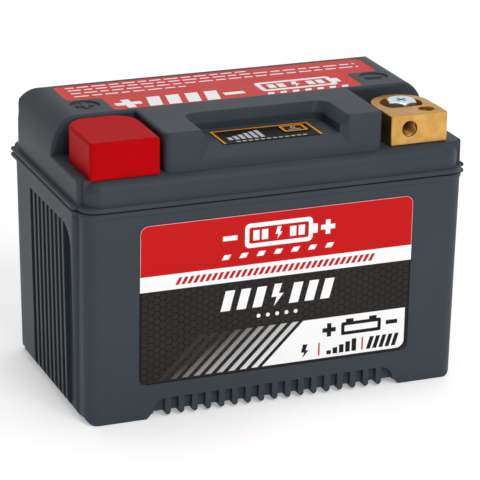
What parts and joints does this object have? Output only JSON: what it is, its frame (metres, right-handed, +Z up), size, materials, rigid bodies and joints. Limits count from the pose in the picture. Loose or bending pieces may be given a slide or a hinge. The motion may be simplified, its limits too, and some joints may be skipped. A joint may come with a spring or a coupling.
{
  "type": "motorcycle battery",
  "caption": "Sealed lithium motorcycle battery with brass bolt terminals, lift-off red terminal cap, charge indicator with test button, ribbed case and domed lid.",
  "frame": {"origin": "under the middle of the battery, on the surface it stands on", "axes": "+Z up, +X along the length from the positive to the negative post, -Y towards the front label and terminals"},
  "size_m": [0.15, 0.087, 0.105],
  "materials": {
    "case_plastic": "fine-textured moulded plastic, satin",
    "cap_red": "soft satin moulded plastic",
    "front_print": "printed laminated film",
    "top_print": "printed laminated film",
    "indicator_film": "printed film",
    "clear_guide": "clear plastic",
    "button_film": "printed film over a hard button",
    "component_black": "moulded",
    "board_green": "solder-masked glass-fibre board",
    "led_white": "moulded",
    "frame_plastic": "moulded",
    "brass": "machined, lightly brushed",
    "zinc_steel": "bright zinc plated",
    "copper": "tinned copper strip",
    "nickel": "nickel strip",
    "cell_wrap": "shrink-wrapped cell",
    "foam": "closed-cell foam",
    "insulator": "fish paper sheet",
    "sealant": "cured sealant"
  },
  "bodies": {
    "battery": {"balance_board": "board_green", "balance_resistors": "component_black", "base_pad": "foam", "board_connector": "component_black", "board_screws": "zinc_steel", "board_spacers": "frame_plastic", "board_transistors": "component_black", "button_switch": "component_black", "case": "case_plastic", "cell_1": "cell_wrap", "cell_2": "cell_wrap", "cell_3": "cell_wrap", "cell_4": "cell_wrap", "cell_5": "cell_wrap", "cell_6": "cell_wrap", "cell_7": "cell_wrap", "cell_8": "cell_wrap", "front_label": "front_print", "front_pad": "foam", "indicator_board": "board_green", "indicator_leds": "led_white", "indicator_light_guides": "clear_guide", "indicator_overlay": "indicator_film", "indicator_pillars": "frame_plastic", "insulator_sheet": "insulator", "left_end_pad": "foam", "lid": "case_plastic", "lid_seal": "sealant", "lower_cell_frame": "frame_plastic", "lower_link_negative": "nickel", "lower_link_positive": "nickel", "negative_post": "brass", "negative_strap": "copper", "negative_terminal": "brass", "positive_bolt": "zinc_steel", "positive_post": "brass", "positive_strap": "copper", "positive_terminal": "brass", "positive_washer": "zinc_steel", "rear_pad": "foam", "right_end_pad": "foam", "sense_strips": "nickel", "top_label": "top_print", "upper_cell_frame": "frame_plastic", "upper_link_middle": "nickel", "upper_link_negative": "nickel", "upper_link_positive": "nickel"},
    "cap": {"terminal_cap": "cap_red"},
    "button": {"test_button": "button_film", "switch_plunger": "component_black"},
    "bolt_washer": {"negative_washer": "zinc_steel"},
    "bolt": {"negative_bolt": "zinc_steel"}
  },
  "joints": [
    {"name": "cap_lift", "type": "slide", "parent": "battery", "child": "cap", "axis": [0, 0, 1], "range_m": [0, 0.06]},
    {"name": "button_press", "type": "slide", "parent": "battery", "child": "button", "axis": [0, 0, -1], "range_m": [0, 0.00035], "stiffness_N_per_m": 3000, "springref_m": -0.0002},
    {"name": "bolt_rise", "type": "slide", "parent": "battery", "child": "bolt_washer", "axis": [0, 0, 1], "range_m": [0, 0.007]},
    {"name": "bolt_turn", "type": "hinge", "parent": "bolt_washer", "child": "bolt", "pos_m": [0.0564, -0.0209, 0.1], "axis": [0, 0, 1], "range_deg": [0, 2521]}
  ],
  "couplings": [
    {"joint": "bolt_turn", "follows": "bolt_rise", "rad_per_m": 6283.2}
  ]
}
